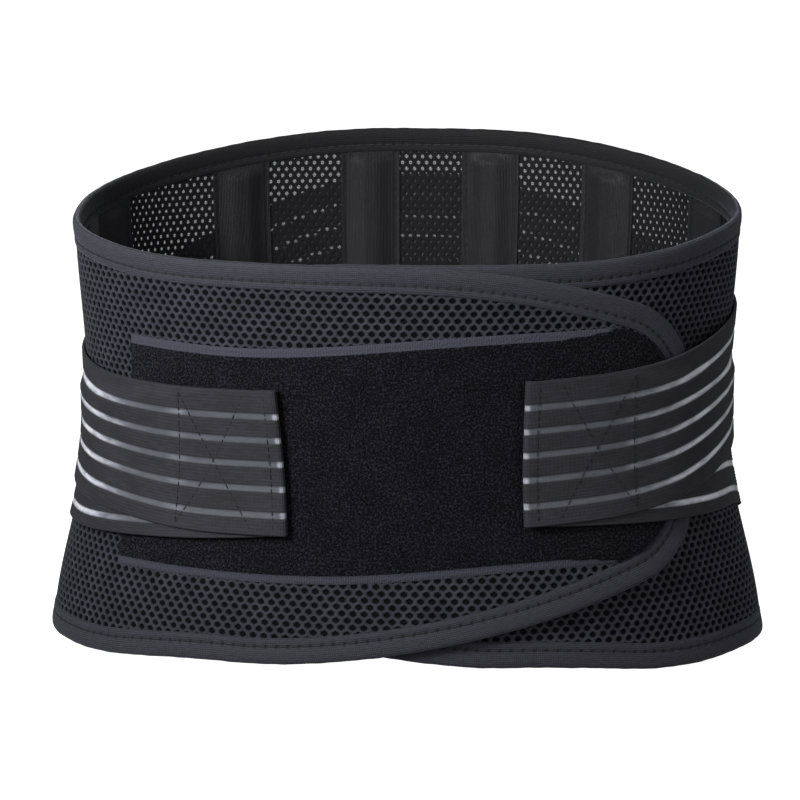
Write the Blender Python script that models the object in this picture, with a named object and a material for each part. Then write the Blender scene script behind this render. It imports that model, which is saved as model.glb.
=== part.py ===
"""Lumbar support belt, closed as it is worn: a tall open ring of fabric round the waist.

A see-through net back holds six stays in sewn pockets. Two spacer-mesh front panels overlap at the
belly and close with hook and loop. Four ribbed elastic straps leave the back, two on each side, and
end in hook tabs that press onto the loop patch of the outer panel.

The ring stands on its bottom edge at z = 0, the wearer faces -Y, and the wearer's right is -X.
The origin is under the middle of the belt's box, so the ring's own centre lies just behind it.
Places on the fabric are given by `along`, the distance round the waist from the centre front
(positive toward +X), by the height z, and by an offset from the fabric's middle surface,
outward positive. Distances behind the centre back use `behind`, positive toward +X.
"""
import math

import bpy
import numpy as np

# Ring: an ellipse in plan that flares toward the hips and a little toward the ribs.
WAIST_HALF_WIDTH = 0.1575
WAIST_HALF_DEPTH = 0.1056
RING_CENTRE_Y = 0.00062
HIP_FLARE = 0.0195
HIP_FLARE_HEIGHT = 0.115
RIB_FLARE = 0.0052
RIB_FLARE_START = 0.125
RIB_FLARE_HEIGHT = 0.092

# Rims: low in front, high at the spine; the bottom edge lifts a little at the belly and over the hips.
FRONT_TOP = 0.201
BACK_TOP = 0.245
TOP_RISE_START = 0.20
TOP_RISE_LENGTH = 0.75
BELLY_LIFT = 0.012
BELLY_LIFT_FLAT = 0.058
BELLY_LIFT_FADE = 0.136
HIP_LIFT = 0.007
HIP_LIFT_START = 0.115
HIP_LIFT_RISE = 0.085
HIP_LIFT_END = 0.230
HIP_LIFT_FALL = 0.100

# Front panels: they taper past the centre to a rounded end.
PANEL_END = 0.1535
PANEL_END_ROUND = 0.030
PANEL_END_FLAT = 0.54
BOTTOM_TAPER = 0.0504
BOTTOM_TAPER_POWER = 1.65
TOP_TAPER = 0.0317
TOP_TAPER_POWER = 2.13

# Fabric thicknesses and the gap between two layers.
NET_THICK = 0.0018
PANEL_THICK = 0.0022
PATCH_THICK = 0.0014
STRAP_THICK = 0.0012
TAPE_THICK = 0.0007
LAYER_GAP = 0.0006

# Binding: a tape folded over every free edge.
BINDING_WIDTH = 0.012
BINDING_SLOT = 0.0006

# The outer panel lies this far out, and the inner one this far in, where they overlap.
LAP_OFFSET = 0.0035
LAP_RAMP = 0.045

# Stays and their pockets, by the distance behind the centre back of each.
STAY_PLACES = (-0.180, -0.100, -0.033, 0.029, 0.093, 0.160)
STAY_WIDTH = 0.010
STAY_THICK = 0.0014
STAY_INSET = 0.004
STAY_PLAY = 0.0001
POCKET_WIDTH = 0.030
POCKET_CHANNEL = 0.0125
POCKET_SHOULDER = 0.003

# Straps: the edge of each one, from its tip round to the centre back, as (distance, height).
STRAP_WIDTH = 0.068
STRAP_SIDE_OFFSET = 0.0026
STRAP_FRONT_RISE = 0.0070
STRAP_RAMP = 0.075
LEFT_TIP = 0.042
RIGHT_TIP = 0.069
TAB_LENGTH = 0.050
LEFT_UPPER_TOP = ((0.042, 0.142), (0.125, 0.141), (0.175, 0.146), (0.209, 0.152), (0.295, 0.188),
                  (0.350, 0.211), (0.390, 0.220), (0.440, 0.221))
RIGHT_UPPER_TOP = ((0.069, 0.148), (0.130, 0.153), (0.178, 0.164), (0.209, 0.170), (0.310, 0.194),
                   (0.360, 0.211), (0.400, 0.219), (0.450, 0.221))
LEFT_LOWER_BOTTOM = ((0.042, 0.074), (0.085, 0.069), (0.150, 0.064), (0.195, 0.062), (0.300, 0.039),
                     (0.370, 0.024), (0.450, 0.022))
RIGHT_LOWER_BOTTOM = ((0.069, 0.080), (0.130, 0.078), (0.165, 0.077), (0.195, 0.075), (0.300, 0.042),
                      (0.370, 0.024), (0.450, 0.022))
STRAP_CROSSING = 0.030
CROSSING_INNER = 0.050
CROSSING_FADE = 0.060

# Loop patch on the outer panel, and the closure's two hidden patches.
PATCH_START = -0.126
PATCH_END = 0.1382
PATCH_CLEARANCE = 0.0014
PATCH_END_ROUND = 0.022
PATCH_TOP = ((-0.126, 0.1615), (-0.060, 0.1605), (0.050, 0.169), (0.123, 0.171), (0.150, 0.171))
PATCH_BOTTOM = ((-0.126, 0.050), (-0.020, 0.0515), (0.060, 0.058), (0.115, 0.060), (0.150, 0.060))
HOOK_PAD = (0.055, 0.136)
HOOK_PAD_HEIGHTS = (0.078, 0.150)
INNER_LOOP = (-0.070, 0.138)
INNER_LOOP_HEIGHTS = (0.072, 0.156)

# Hinges: vertical axes at the two sides, and where the left strap starts to peel.
SIDE_HINGE_X = 0.173
SEAM_GAP = 0.0004
SEAM_NOTCH = 0.6
PEEL_PLACE = 0.158
PEEL_OFFSET = 0.018

# Facets: longest side of a facet round the ring and up it.
COLUMN = 0.0155
ROW = 0.0205

BLACK_MESH = (0.022, 0.022, 0.025)
BLACK_TAPE = (0.018, 0.018, 0.021)
BLACK_PILE = (0.010, 0.010, 0.012)
STRAP_GREY = (0.045, 0.045, 0.052)
STAY_STEEL = (0.55, 0.56, 0.58)

TABLE_STEPS = 1440


def smooth(value):
    """Ease from 0 to 1 as value goes from 0 to 1."""
    value = max(0.0, min(1.0, value))
    return value * value * (3.0 - 2.0 * value)


def waist_table():
    """Plan angles and the distances round the waist ellipse that they stand for."""
    angles = np.linspace(-math.pi, math.pi, TABLE_STEPS + 1)
    x = WAIST_HALF_WIDTH * np.sin(angles)
    y = -WAIST_HALF_DEPTH * np.cos(angles)
    steps = np.hypot(np.diff(x), np.diff(y))
    distances = np.concatenate(([0.0], np.cumsum(steps)))
    return angles, distances - distances[-1] / 2.0


ANGLES, DISTANCES = waist_table()
HALF_WAIST = float(DISTANCES[-1])
SIDE = HALF_WAIST / 2.0


def half_width(z):
    """Half width of the ring at a height."""
    hip = HIP_FLARE * smooth((HIP_FLARE_HEIGHT - z) / HIP_FLARE_HEIGHT)
    rib = RIB_FLARE * smooth((z - RIB_FLARE_START) / RIB_FLARE_HEIGHT)
    return WAIST_HALF_WIDTH + hip + rib


def surface(along, z, offset):
    """World point at a distance round the waist, a height and an offset outward."""
    wrapped = (along + HALF_WAIST) % (2.0 * HALF_WAIST) - HALF_WAIST
    angle = float(np.interp(wrapped, DISTANCES, ANGLES))
    a = half_width(z)
    b = a * WAIST_HALF_DEPTH / WAIST_HALF_WIDTH
    normal_x = math.sin(angle) / a
    normal_y = -math.cos(angle) / b
    length = math.hypot(normal_x, normal_y)
    x = a * math.sin(angle) + offset * normal_x / length
    y = RING_CENTRE_Y - b * math.cos(angle) + offset * normal_y / length
    return (x, y, z)


def seam_gap(z):
    """Half of the gap at a side seam: wider where the ring is wider than its hinge axis."""
    outside = half_width(z) + PANEL_THICK / 2 + BINDING_SLOT + TAPE_THICK - SIDE_HINGE_X
    return SEAM_GAP + SEAM_NOTCH * max(0.0, outside)


def front_point(along, z, offset):
    """A point of a front piece, kept in front of the side seams."""
    reach = SIDE - seam_gap(z)
    return surface(max(-reach, min(reach, along)), z, offset)


def back_point(behind, z, offset):
    """A point of a back piece, kept behind the side seams."""
    reach = HALF_WAIST - SIDE - seam_gap(z)
    return surface(HALF_WAIST - max(-reach, min(reach, behind)), z, offset)


def rim_top(along):
    """Height of the top rim at a distance from the centre front."""
    share = abs(along) / HALF_WAIST
    return FRONT_TOP + (BACK_TOP - FRONT_TOP) * smooth((share - TOP_RISE_START) / TOP_RISE_LENGTH)


def rim_bottom(along):
    """Height of the bottom rim at a distance from the centre front."""
    along = abs(along)
    belly = BELLY_LIFT * (1.0 - smooth((along - BELLY_LIFT_FLAT) / BELLY_LIFT_FADE))
    rising = smooth((along - HIP_LIFT_START) / HIP_LIFT_RISE)
    falling = smooth((along - HIP_LIFT_END) / HIP_LIFT_FALL)
    return belly + HIP_LIFT * rising * (1.0 - falling)


def back_rim_top(behind):
    return rim_top(HALF_WAIST - abs(behind))


def back_rim_bottom(behind):
    return rim_bottom(HALF_WAIST - abs(behind))


def end_share(reached, end, radius, flat):
    """Share of the full height left near a rounded end."""
    past = max(0.0, min(1.0, (reached - (end - radius)) / radius))
    return flat + (1.0 - flat) * math.sqrt(1.0 - past * past)


def panel_heights(reached):
    """Bottom and top of a front panel, where reached grows toward its rounded end."""
    bottom = rim_bottom(reached)
    top = rim_top(reached)
    past_flat = reached + BELLY_LIFT_FLAT
    if past_flat > 0.0:
        share = past_flat / (PANEL_END + BELLY_LIFT_FLAT)
        bottom = BELLY_LIFT + BOTTOM_TAPER * share ** BOTTOM_TAPER_POWER
    if reached > 0.0:
        top = FRONT_TOP - TOP_TAPER * (reached / PANEL_END) ** TOP_TAPER_POWER
    middle = (bottom + top) / 2.0
    half = (top - bottom) / 2.0 * end_share(reached, PANEL_END, PANEL_END_ROUND, PANEL_END_FLAT)
    return middle - half, middle + half


def inside_binding(reached):
    """Bottom and top of the part of a front panel that its binding leaves clear."""
    reach = BINDING_WIDTH + BINDING_SLOT + TAPE_THICK + PATCH_CLEARANCE
    low, high = panel_heights(reached)
    for step in range(-8, 9):
        sideways = reach * step / 8
        away = math.sqrt(reach * reach - sideways * sideways)
        near_low, near_high = panel_heights(min(PANEL_END, reached + sideways))
        low = max(low, near_low + away)
        high = min(high, near_high - away)
    return low, high


def through(points, place):
    """Height at a place on the smooth curve through a few (distance, height) points."""
    places = [point[0] for point in points]
    heights = [point[1] for point in points]
    place = max(places[0], min(places[-1], place))
    right = next(i for i in range(1, len(places)) if place <= places[i] + 1e-12)
    left = right - 1
    slopes = [(heights[i + 1] - heights[i]) / (places[i + 1] - places[i]) for i in range(len(places) - 1)]
    slope_in = slopes[left] if left == 0 else (slopes[left - 1] + slopes[left]) / 2.0
    slope_out = slopes[left] if right == len(places) - 1 else (slopes[left] + slopes[right]) / 2.0
    width = places[right] - places[left]
    t = (place - places[left]) / width
    return (heights[left] * (1 + 2 * t) * (1 - t) ** 2 + slope_in * width * t * (1 - t) ** 2
            + heights[right] * t * t * (3 - 2 * t) + slope_out * width * t * t * (t - 1))


def lap(along):
    """Share of the overlap offset reached at a distance from the centre front."""
    return smooth((SIDE - abs(along)) / LAP_RAMP)


def columns(start, end):
    """Evenly spaced places from start to end, no further apart than COLUMN."""
    count = max(2, math.ceil(abs(end - start) / COLUMN))
    return [start + (end - start) * i / count for i in range(count + 1)]


def rounded_columns(start, end, radius):
    """Places from start to a rounded end, closer together round the corner."""
    corner = end - radius
    turns = [corner + radius * math.sin(math.pi / 2 * i / 6) for i in range(1, 7)]
    return columns(start, corner) + turns


def make_material(name, colour, roughness, metallic=0.0):
    material = bpy.data.materials.new(name)
    material.use_nodes = True
    shader = material.node_tree.nodes["Principled BSDF"]
    shader.inputs["Base Color"].default_value = (*colour, 1.0)
    shader.inputs["Roughness"].default_value = roughness
    shader.inputs["Metallic"].default_value = metallic
    return material


def make_object(name, points, faces, parent, colour, roughness=0.85, metallic=0.0):
    """A closed mesh from world points, hung on its joint's empty and smooth across its sheet."""
    pivot = parent.matrix_world.translation
    local = [(x - pivot.x, y - pivot.y, z - pivot.z) for x, y, z in points]
    mesh = bpy.data.meshes.new(name)
    mesh.from_pydata(local, [], faces)
    mesh.validate()
    mesh.shade_smooth()
    mesh.set_sharp_from_angle(angle=math.radians(40))
    mesh.materials.append(make_material(name, colour, roughness, metallic))
    item = bpy.data.objects.new(name, mesh)
    bpy.context.collection.objects.link(item)
    item.parent = parent
    return item


def hinge_empty(name, location, parent=None):
    """An empty on a joint's vertical axis."""
    item = bpy.data.objects.new(name, None)
    bpy.context.collection.objects.link(item)
    if parent is not None:
        item.parent = parent
    base = parent.matrix_world.translation if parent is not None else (0.0, 0.0, 0.0)
    item.location = [location[i] - base[i] for i in range(3)]
    bpy.context.view_layer.update()
    return item


def sweep(rings):
    """Points and outward faces of a solid through closed rings of equal length."""
    count = len(rings[0])
    points = [point for ring in rings for point in ring]
    faces = []
    for i in range(len(rings) - 1):
        for j in range(count):
            k = (j + 1) % count
            faces.append((i * count + j, i * count + k, (i + 1) * count + k, (i + 1) * count + j))
    last = (len(rings) - 1) * count
    return points, faces, list(range(count)), [last + j for j in range(count)]


def fabric(name, places, heights, offset, thick, parent, colour, point=front_point):
    """A sheet of fabric: columns at places, between heights(place), thick across offset(place)."""
    tallest = max(heights(place)[1] - heights(place)[0] for place in places)
    rows = max(2, math.ceil(tallest / ROW))
    grids = []
    for side in (0.5, -0.5):
        grid = []
        for place in places:
            low, high = heights(place)
            middle = offset(place)
            grid.append([point(place, low + (high - low) * r / rows, middle + side * thick)
                         for r in range(rows + 1)])
        grids.append(grid)
    points = [p for grid in grids for column in grid for p in column]
    wide, tall = len(places), rows + 1

    def index(layer, i, r):
        return (layer * wide + i) * tall + r

    faces = []
    for i in range(wide - 1):
        for r in range(rows):
            faces.append((index(0, i, r), index(0, i + 1, r), index(0, i + 1, r + 1), index(0, i, r + 1)))
            faces.append((index(1, i, r), index(1, i, r + 1), index(1, i + 1, r + 1), index(1, i + 1, r)))
    edge = [(i, 0) for i in range(wide)] + [(wide - 1, r) for r in range(1, tall)]
    edge += [(i, rows) for i in range(wide - 2, -1, -1)] + [(0, r) for r in range(rows - 1, 0, -1)]
    for here, there in zip(edge, edge[1:] + edge[:1]):
        faces.append((index(0, *there), index(0, *here), index(1, *here), index(1, *there)))
    if point is back_point:
        faces = [tuple(reversed(face)) for face in faces]
    return make_object(name, points, faces, parent, colour)


def binding(name, path, offset, parent, point=front_point):
    """Tape folded over an edge; path holds the edge's places in order, the fabric on their left."""
    slot = PANEL_THICK / 2 + BINDING_SLOT
    skin = slot + TAPE_THICK
    outside = -(BINDING_SLOT + TAPE_THICK)
    section = ((outside, -skin), (BINDING_WIDTH, -skin), (BINDING_WIDTH, -slot), (-BINDING_SLOT, -slot),
               (-BINDING_SLOT, slot), (BINDING_WIDTH, slot), (BINDING_WIDTH, skin), (outside, skin))
    rings = []
    for i, (place, z) in enumerate(path):
        before = path[max(0, i - 1)]
        after = path[min(len(path) - 1, i + 1)]
        run = (after[0] - before[0], after[1] - before[1])
        length = math.hypot(*run)
        inward = (-run[1] / length, run[0] / length)
        rings.append([point(place + depth * inward[0], z + depth * inward[1], offset(place) + out)
                      for depth, out in section])
    points, faces, first, last = sweep(rings)
    # each end is three strips, so that no facet spans the folded section's hollow
    for strip in ((0, 1, 2, 3), (0, 3, 4, 7), (4, 5, 6, 7)):
        faces.append(tuple(first[j] for j in reversed(strip)))
        faces.append(tuple(last[j] for j in strip))
    if point is back_point:
        faces = [tuple(reversed(face)) for face in faces]
    return make_object(name, points, faces, parent, BLACK_TAPE, 0.7)


def column_solid(name, behind, half_section, low, high, parent, colour, roughness, metallic=0.0):
    """A solid of constant section run up the inner side of the back."""
    count = max(2, math.ceil((high - low) / ROW))
    rings = []
    for r in range(count + 1):
        z = low + (high - low) * r / count
        rings.append([back_point(behind + across, z, out) for across, out in half_section])
    points, faces, first, last = sweep(rings)
    faces.append(tuple(reversed(first)))
    faces.append(tuple(last))
    return make_object(name, points, faces, parent, colour, roughness, metallic)


def panel_pieces(name, direction, offset_sign, parent):
    """A front panel and its binding; direction is +1 where the rounded end points toward +X."""
    inset = BINDING_SLOT + TAPE_THICK
    end = PANEL_END - inset
    places = rounded_columns(-SIDE, end, PANEL_END_ROUND)

    def edges(reached):
        low, high = panel_heights(min(PANEL_END, reached * PANEL_END / end if reached > 0 else reached))
        return low + inset, high - inset

    def offset(along):
        return offset_sign * LAP_OFFSET * lap(along)

    ordered = places if direction > 0 else [-place for place in reversed(places)]
    fabric(name + "_panel", ordered, lambda along: edges(along * direction), offset, PANEL_THICK,
           parent, BLACK_MESH)
    low, high = edges(end)
    steps = math.ceil((high - low) / COLUMN)
    path = [(place, edges(place)[0]) for place in places]
    path += [(end, low + (high - low) * i / steps) for i in range(1, steps)]
    path += [(place, edges(place)[1]) for place in reversed(places)]
    if direction < 0:
        path = [(-place, z) for place, z in reversed(path)]
    binding(name + "_binding", path, offset, parent)


def strap_offset(along):
    """Middle of the lower strap: close to the panel at the side, over the loop patch in front."""
    return STRAP_SIDE_OFFSET + STRAP_FRONT_RISE * smooth((SIDE - abs(along)) / STRAP_RAMP)


def upper_heights(points, distance):
    top = through(points, distance)
    slope = (through(points, distance + 0.004) - through(points, distance - 0.004)) / 0.008
    return top - STRAP_WIDTH * math.hypot(1.0, slope), top


def lower_heights(points, distance):
    bottom = through(points, distance)
    slope = (through(points, distance + 0.004) - through(points, distance - 0.004)) / 0.008
    return bottom, bottom + STRAP_WIDTH * math.hypot(1.0, slope)


def front_straps(side, sign, start, end, parent, suffix):
    """Upper and lower strap of one side from start to end, distances from the centre front."""
    uppers = LEFT_UPPER_TOP if side == "left" else RIGHT_UPPER_TOP
    lowers = LEFT_LOWER_BOTTOM if side == "left" else RIGHT_LOWER_BOTTOM
    places = sorted(sign * place for place in columns(start, end))
    above = STRAP_THICK + LAYER_GAP
    fabric(side + "_upper_strap_" + suffix, places, lambda a: upper_heights(uppers, abs(a)),
           lambda a: strap_offset(a) + above, STRAP_THICK, parent, STRAP_GREY)
    fabric(side + "_lower_strap_" + suffix, places, lambda a: lower_heights(lowers, abs(a)),
           strap_offset, STRAP_THICK, parent, STRAP_GREY)


def back_straps(parent):
    """The straps' back stretches: the upper ones arch up to the spine, the lower ones down."""
    reach = HALF_WAIST - SIDE
    above = STRAP_THICK + LAYER_GAP
    for side, sign in (("left", -1.0), ("right", 1.0)):
        places = sorted(sign * place for place in columns(-STRAP_CROSSING, reach))
        uppers = LEFT_UPPER_TOP if side == "left" else RIGHT_UPPER_TOP
        lowers = LEFT_LOWER_BOTTOM if side == "left" else RIGHT_LOWER_BOTTOM

        def crossed(behind, sign=sign):
            return smooth((sign * behind - CROSSING_INNER) / CROSSING_FADE)

        def upper_offset(behind, side=side, crossed=crossed):
            lifted = crossed(behind) if side == "left" else 1.0
            return STRAP_SIDE_OFFSET + above * lifted

        def lower_offset(behind, side=side, crossed=crossed):
            lifted = 0.0 if side == "left" else 1.0 - crossed(behind)
            return STRAP_SIDE_OFFSET + above * lifted

        fabric(side + "_upper_strap_back", places,
               lambda b, points=uppers, sign=sign: upper_heights(points, HALF_WAIST - sign * b),
               upper_offset, STRAP_THICK, parent, STRAP_GREY, back_point)
        fabric(side + "_lower_strap_back", places,
               lambda b, points=lowers, sign=sign: lower_heights(points, HALF_WAIST - sign * b),
               lower_offset, STRAP_THICK, parent, STRAP_GREY, back_point)


def hook_tab(side, sign, tip, parent):
    """Hook patch under a strap's tip, facing the loop patch."""
    uppers = LEFT_UPPER_TOP if side == "left" else RIGHT_UPPER_TOP
    margin = 0.002
    places = sorted(sign * place for place in columns(tip + margin, tip + TAB_LENGTH))
    middle = (LAP_OFFSET + PANEL_THICK / 2 + 2 * LAYER_GAP + PATCH_THICK + STRAP_THICK / 2)

    def heights(along):
        low, high = upper_heights(uppers, abs(along))
        return low + margin, high - margin

    fabric(side + "_hook_tab", places, heights, lambda a: middle, STRAP_THICK, parent, BLACK_TAPE)


def patches(left_front, right_front):
    """The loop patch in front and the two mating patches hidden between the panels."""
    out = PANEL_THICK / 2 + LAYER_GAP + PATCH_THICK / 2

    def loop_heights(along):
        clear_low, clear_high = inside_binding(along)
        return max(through(PATCH_BOTTOM, along), clear_low), min(through(PATCH_TOP, along), clear_high)

    fabric("front_loop_patch", rounded_columns(PATCH_START, PATCH_END, PATCH_END_ROUND), loop_heights,
           lambda a: LAP_OFFSET * lap(a) + out, PATCH_THICK, left_front, BLACK_PILE)
    fabric("closure_hook_pad", columns(*HOOK_PAD), lambda a: HOOK_PAD_HEIGHTS,
           lambda a: LAP_OFFSET * lap(a) - out, PATCH_THICK, left_front, BLACK_TAPE)
    fabric("inner_loop_patch", columns(*INNER_LOOP), lambda a: INNER_LOOP_HEIGHTS,
           lambda a: -LAP_OFFSET * lap(a) + out, PATCH_THICK, right_front, BLACK_PILE)


def stays_and_pockets(parent):
    """Flat steel stays on the inner face of the net, each under its pocket tape."""
    face = -(NET_THICK / 2 + BINDING_SLOT)
    stay_out = face - STAY_PLAY
    stay_in = stay_out - STAY_THICK
    crown = stay_in - BINDING_SLOT
    tape = TAPE_THICK
    half = POCKET_CHANNEL / 2
    shoulder = half + POCKET_SHOULDER
    edge = POCKET_WIDTH / 2
    flange = face - tape
    hat = ((-edge, face), (-edge, flange), (-shoulder, flange), (-half, crown - tape),
           (half, crown - tape), (shoulder, flange), (edge, flange), (edge, face),
           (shoulder - tape, face), (half, crown), (-half, crown), (-shoulder + tape, face))
    bar = ((-STAY_WIDTH / 2, stay_out), (-STAY_WIDTH / 2, stay_in),
           (STAY_WIDTH / 2, stay_in), (STAY_WIDTH / 2, stay_out))
    clear = BINDING_WIDTH + BINDING_SLOT + 2 * TAPE_THICK
    for number, behind in enumerate(STAY_PLACES, start=1):
        ends = (behind - edge, behind + edge)
        low = max(back_rim_bottom(place) for place in ends) + clear
        high = min(back_rim_top(place) for place in ends) - clear
        column_solid(f"stay_pocket_{number}", behind, hat, low, high, parent, BLACK_TAPE, 0.6)
        column_solid(f"stay_{number}", behind, bar, low + STAY_INSET, high - STAY_INSET, parent,
                     STAY_STEEL, 0.35, 1.0)


def back_pieces(parent):
    """The net and its two bindings."""
    inset = BINDING_SLOT + TAPE_THICK
    reach = HALF_WAIST - SIDE
    places = columns(-reach, reach)
    fabric("back_mesh", places, lambda b: (back_rim_bottom(b) + inset, back_rim_top(b) - inset),
           lambda b: 0.0, NET_THICK, parent, BLACK_MESH, back_point)
    bottom = [(place, back_rim_bottom(place) + inset) for place in places]
    top = [(place, back_rim_top(place) - inset) for place in reversed(places)]
    binding("back_bottom_binding", bottom, lambda b: 0.0, parent, back_point)
    binding("back_top_binding", top, lambda b: 0.0, parent, back_point)


def clear_scene():
    for item in list(bpy.data.objects):
        bpy.data.objects.remove(item, do_unlink=True)


def build():
    clear_scene()
    back = hinge_empty("back_frame", (0.0, 0.0, 0.0))
    left_front = hinge_empty("left_side_hinge", (-SIDE_HINGE_X, RING_CENTRE_Y, 0.0), back)
    right_front = hinge_empty("right_side_hinge", (SIDE_HINGE_X, RING_CENTRE_Y, 0.0), back)
    right_strap = hinge_empty("right_strap_hinge", (SIDE_HINGE_X, RING_CENTRE_Y, 0.0), back)
    peel = surface(-PEEL_PLACE, HIP_FLARE_HEIGHT, PEEL_OFFSET)
    left_strap = hinge_empty("left_strap_hinge", (peel[0], peel[1], 0.0), left_front)

    back_pieces(back)
    stays_and_pockets(back)
    back_straps(back)
    panel_pieces("left_front", 1, 1, left_front)
    panel_pieces("right_front", -1, -1, right_front)
    patches(left_front, right_front)
    front_straps("left", -1.0, PEEL_PLACE + SEAM_GAP, SIDE, left_front, "side")
    front_straps("left", -1.0, LEFT_TIP, PEEL_PLACE - SEAM_GAP, left_strap, "front")
    hook_tab("left", -1.0, LEFT_TIP, left_strap)
    front_straps("right", 1.0, RIGHT_TIP, SIDE, right_strap, "front")
    hook_tab("right", 1.0, RIGHT_TIP, right_strap)


build()
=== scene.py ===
"""Looks of the lumbar support belt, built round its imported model.

Cloth pieces are laid on the belt's own ring. Places are given as in the CAD: `along` is the distance
round the waist from the centre front (positive toward +X), z the height, and the offset is outward
from the fabric's middle surface. Straps use `reach`, the distance from the centre front to either side.
All sizes are metres.
"""

import math

import bpy
import numpy as np
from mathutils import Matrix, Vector


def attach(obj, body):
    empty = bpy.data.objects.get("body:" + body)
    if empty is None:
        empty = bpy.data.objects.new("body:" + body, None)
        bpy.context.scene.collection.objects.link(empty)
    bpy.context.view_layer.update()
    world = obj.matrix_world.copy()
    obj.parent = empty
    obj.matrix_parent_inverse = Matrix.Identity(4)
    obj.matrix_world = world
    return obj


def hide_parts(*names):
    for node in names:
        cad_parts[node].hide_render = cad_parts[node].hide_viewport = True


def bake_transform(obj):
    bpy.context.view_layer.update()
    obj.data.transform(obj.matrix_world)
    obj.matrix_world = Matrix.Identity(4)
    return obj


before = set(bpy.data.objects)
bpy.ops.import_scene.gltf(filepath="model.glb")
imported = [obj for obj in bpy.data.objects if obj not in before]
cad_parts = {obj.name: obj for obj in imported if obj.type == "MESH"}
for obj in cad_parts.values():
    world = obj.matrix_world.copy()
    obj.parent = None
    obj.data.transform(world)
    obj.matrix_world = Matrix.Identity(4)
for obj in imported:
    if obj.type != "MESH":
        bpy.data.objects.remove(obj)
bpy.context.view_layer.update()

# The ring, as in the CAD.
WAIST_HALF_WIDTH = 0.1575
WAIST_HALF_DEPTH = 0.1056
RING_CENTRE_Y = 0.00062
HIP_FLARE = 0.0195
HIP_FLARE_HEIGHT = 0.115
RIB_FLARE = 0.0052
RIB_FLARE_START = 0.125
RIB_FLARE_HEIGHT = 0.092
FRONT_TOP = 0.201
BACK_TOP = 0.245
TOP_RISE_START = 0.20
TOP_RISE_LENGTH = 0.75
BELLY_LIFT = 0.012
BELLY_LIFT_FLAT = 0.058
BELLY_LIFT_FADE = 0.136
HIP_LIFT = 0.007
HIP_LIFT_START = 0.115
HIP_LIFT_RISE = 0.085
HIP_LIFT_END = 0.230
HIP_LIFT_FALL = 0.100
PANEL_END = 0.1535
PANEL_END_ROUND = 0.030
PANEL_END_FLAT = 0.54
BOTTOM_TAPER = 0.0504
BOTTOM_TAPER_POWER = 1.65
TOP_TAPER = 0.0317
TOP_TAPER_POWER = 2.13
LAP_OFFSET = 0.0035
LAP_RAMP = 0.045

# Straps, as in the CAD.
STRAP_WIDTH = 0.068
STRAP_THICK = 0.0012
STRAP_LAYER = 0.0018
STRAP_SIDE_OFFSET = 0.0026
STRAP_FRONT_RISE = 0.0070
STRAP_RAMP = 0.075
STRAP_CROSSING = 0.030
CROSSING_INNER = 0.050
CROSSING_FADE = 0.060
TIP = {"left": 0.042, "right": 0.069}
UPPER_TOP = {
    "left": ((0.042, 0.142), (0.125, 0.141), (0.175, 0.146), (0.209, 0.152), (0.295, 0.188),
             (0.350, 0.211), (0.390, 0.220), (0.440, 0.221)),
    "right": ((0.069, 0.148), (0.130, 0.153), (0.178, 0.164), (0.209, 0.170), (0.310, 0.194),
              (0.360, 0.211), (0.400, 0.219), (0.450, 0.221)),
}
LOWER_BOTTOM = {
    "left": ((0.042, 0.074), (0.085, 0.069), (0.150, 0.064), (0.195, 0.062), (0.300, 0.039),
             (0.370, 0.024), (0.450, 0.022)),
    "right": ((0.069, 0.080), (0.130, 0.078), (0.165, 0.077), (0.195, 0.075), (0.300, 0.042),
              (0.370, 0.024), (0.450, 0.022)),
}
SIDE_SIGN = {"left": -1.0, "right": 1.0}

# Patches, as in the CAD.
PATCH_START = -0.126
PATCH_END = 0.1400
PATCH_TOP = ((-0.126, 0.1615), (-0.060, 0.1605), (0.050, 0.169), (0.123, 0.171), (0.150, 0.171))
PATCH_BOTTOM = ((-0.126, 0.050), (-0.020, 0.0515), (0.060, 0.058), (0.115, 0.060), (0.150, 0.060))
PATCH_KEEP_OFF = 0.0129
PATCH_BASE = 0.00095
HEM_END = 0.124
HEM_FADE = 0.045
HOOK_PAD = (0.055, 0.136, 0.078, 0.150)
INNER_LOOP = (-0.070, 0.138, 0.072, 0.156)
TAB_LENGTH = 0.050
TAB_MARGIN = 0.002
TAB_OFFSET = 0.0078

# Stay pockets, as in the CAD, by the distance of each from the centre back toward +X.
POCKET_PLACES = (-0.180, -0.100, -0.033, 0.029, 0.093, 0.160)
POCKET_WIDTH = 0.030
POCKET_SEAM = 0.0022

# Knitted mesh: pitch round the waist, height of a row, half width and half height of a hole.
SPACER = (0.0048, 0.0032, 0.00143, 0.00151)
LINING = (0.0058, 0.0039, 0.00125, 0.00150)
NET = (0.0041, 0.0032, 0.00094, 0.00124)
NET_HALF_THICK = 0.0009
SPACER_SKIN = 0.00115
SPACER_CORE = 0.00015
LINING_SKIN = 0.00105
CORE_HALF_THICK = 0.0002
CORE_MARGIN = 0.004
MESH_MARGIN = 0.0065

# Sewing.
BINDING_WIDTH = 0.012
STITCH = 0.005
STITCH_DEPTH = 0.0082
STITCH_OUT = 0.00166
THREAD = 0.00026
THREAD_ARCH = 0.00016
FIBRE = 0.00011
STRIPES = {"upper": (0.18, 0.345, 0.51, 0.68, 0.86), "lower": (0.18, 0.345, 0.52, 0.70, 0.888)}
STRIPE_HALF = 0.0250
RIB_PITCH = 0.0015
RIB_HEIGHT = 0.00024
STRIPE_SINK = 0.00012
NECKING = 0.055
TIP_SLANT = {"left": 0.0070, "right": 0.0015}
FOLD_LINE = 0.0045
STRAP_STITCH = 0.0034
BOX_START = 0.0145
BOX_END = 0.0500

# Where fabric bends at the sides, and where the left strap's free part starts to peel.
SEAM_BEHIND = 0.010
SEAM_TAPE_WIDTH = 0.013
BEND_Z = 0.1
PEEL_JOIN = 0.185
PEEL_FROM = 0.178
PEEL_TO = 0.135

TABLE_STEPS = 2880
AMBIENT = 0.16


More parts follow.
